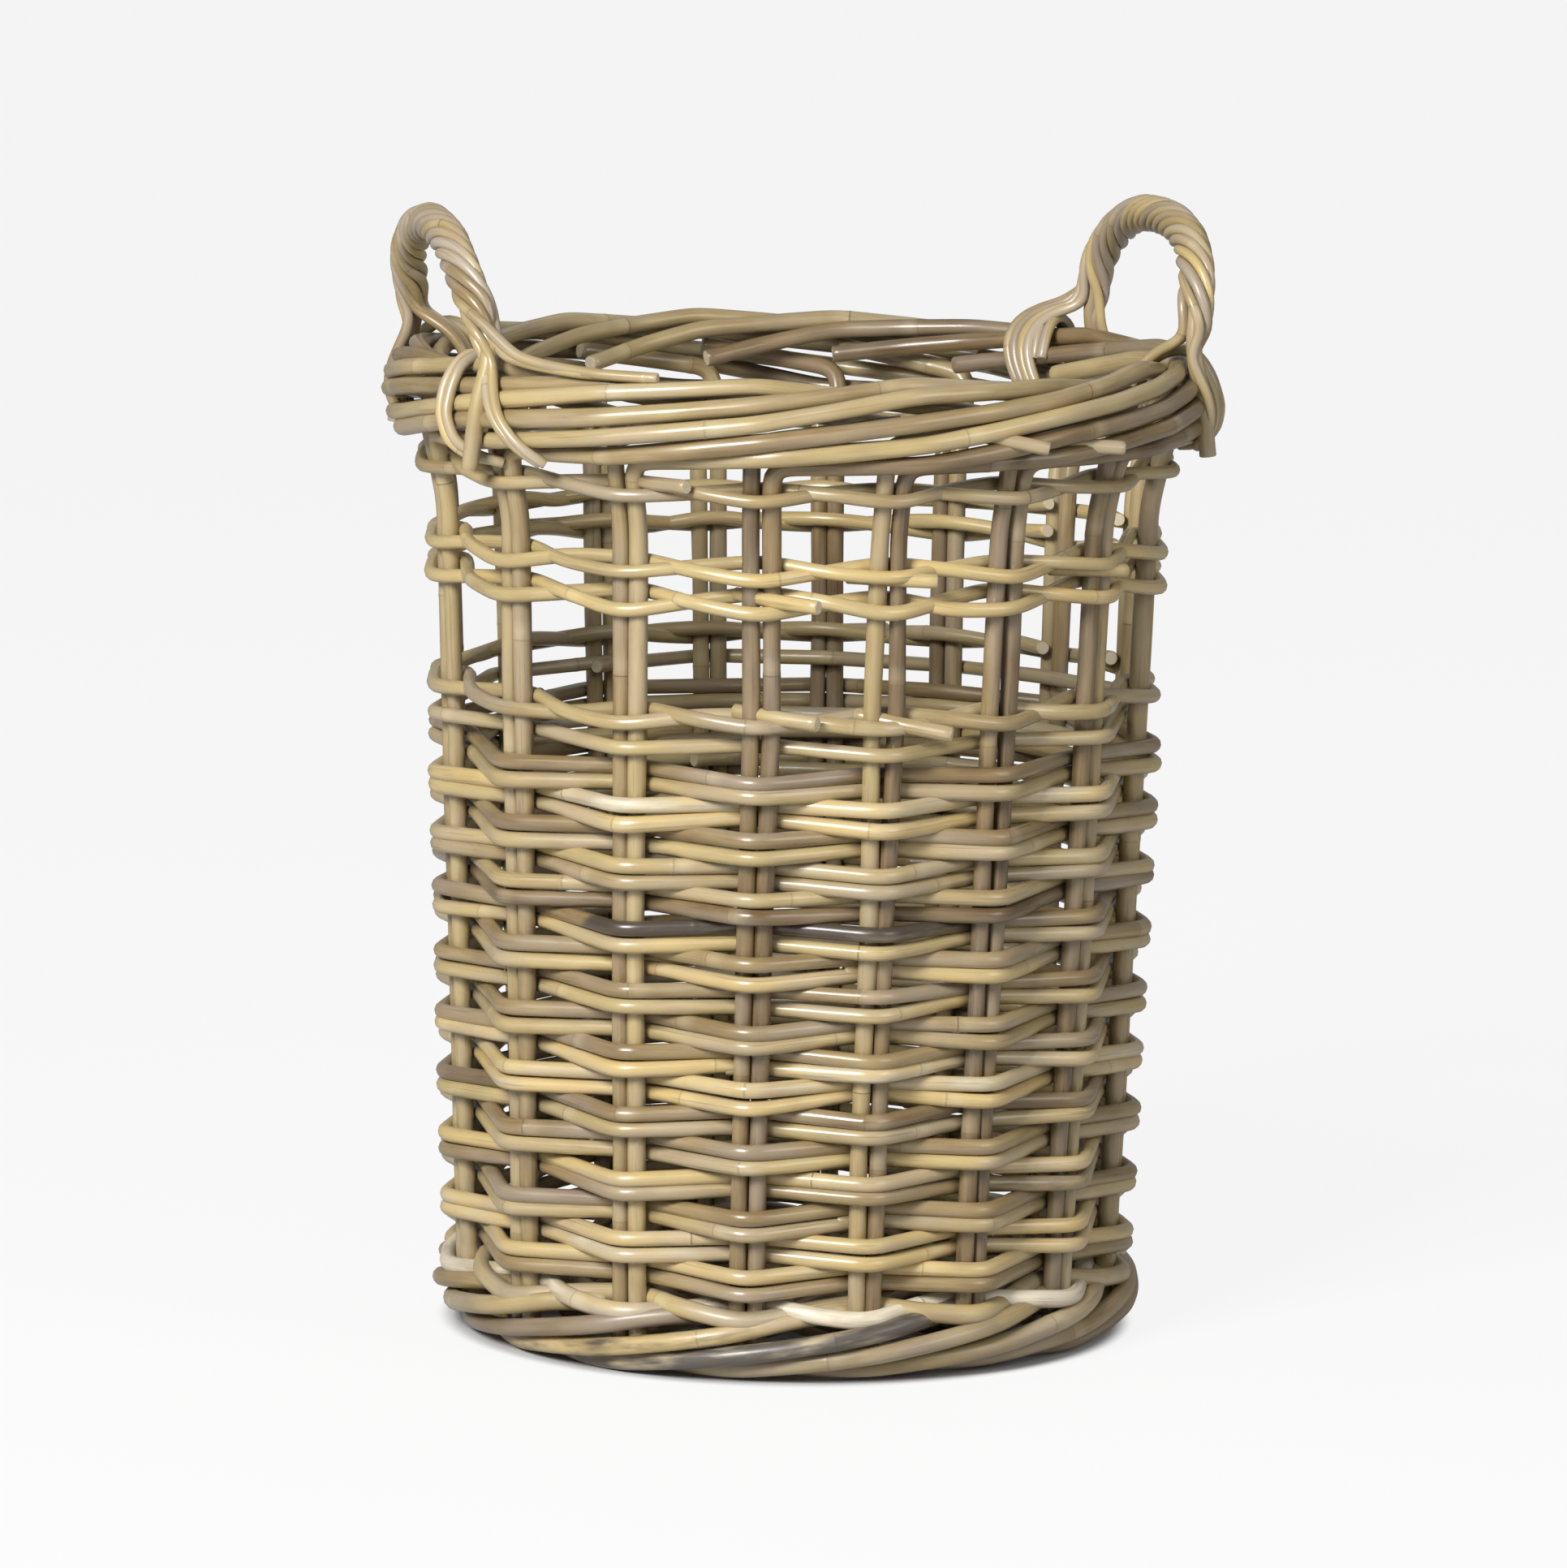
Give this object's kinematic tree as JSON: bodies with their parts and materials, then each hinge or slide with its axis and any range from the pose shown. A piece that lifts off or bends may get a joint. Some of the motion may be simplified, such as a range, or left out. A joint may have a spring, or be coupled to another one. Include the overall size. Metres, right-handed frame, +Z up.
{
  "type": "log basket",
  "caption": "Round log basket of thick rattan rods, with paired stakes, slewed sides with two open bands, a rolled border and two roped ear handles.",
  "frame": {"origin": "middle of the circle that the foot stands on, on the floor", "axes": "+Z up, +X towards one ear handle, the other ear is on -X"},
  "size_m": [0.446, 0.4462, 0.6065],
  "materials": {
    "stake_rattan": "satin",
    "weaver_rattan": "satin",
    "golden_rattan": "satin",
    "foot_rattan": "matte",
    "base_rattan": "matte",
    "ear_rattan": "satin"
  },
  "bodies": {
    "root": {"base_sticks_lower": "base_rattan", "base_sticks_upper": "base_rattan", "base_weave": "base_rattan", "ear_left_bow": "ear_rattan", "ear_left_lashing": "ear_rattan", "ear_left_roping": "ear_rattan", "ear_right_bow": "ear_rattan", "ear_right_lashing": "ear_rattan", "ear_right_roping": "ear_rattan", "foot_border_a": "foot_rattan", "foot_border_b": "foot_rattan", "pairing_middle_lower": "golden_rattan", "pairing_middle_upper": "golden_rattan", "pairing_top_of_weave": "golden_rattan", "pairing_under_border": "golden_rattan", "stake_pair_01": "stake_rattan", "stake_pair_02": "stake_rattan", "stake_pair_03": "stake_rattan", "stake_pair_04": "stake_rattan", "stake_pair_05": "stake_rattan", "stake_pair_06": "stake_rattan", "stake_pair_07": "stake_rattan", "stake_pair_08": "stake_rattan", "stake_pair_09": "stake_rattan", "stake_pair_10": "stake_rattan", "stake_pair_11": "stake_rattan", "stake_pair_12": "stake_rattan", "stake_pair_13": "stake_rattan", "stake_pair_14": "stake_rattan", "stake_pair_15": "stake_rattan", "stake_pair_16": "stake_rattan", "upsett_row": "foot_rattan", "weave_row_01": "weaver_rattan", "weave_row_02": "weaver_rattan", "weave_row_03": "weaver_rattan", "weave_row_04": "weaver_rattan", "weave_row_05": "weaver_rattan", "weave_row_06": "weaver_rattan", "weave_row_07": "weaver_rattan", "weave_row_08": "weaver_rattan", "weave_row_09": "weaver_rattan", "weave_row_10": "weaver_rattan", "weave_row_11": "weaver_rattan", "weave_row_12": "weaver_rattan", "weave_row_13": "weaver_rattan", "weave_row_14": "weaver_rattan", "weave_row_15": "weaver_rattan", "weave_row_16": "weaver_rattan", "weave_row_17": "weaver_rattan", "weave_single_row": "weaver_rattan"}
  },
  "joints": []
}
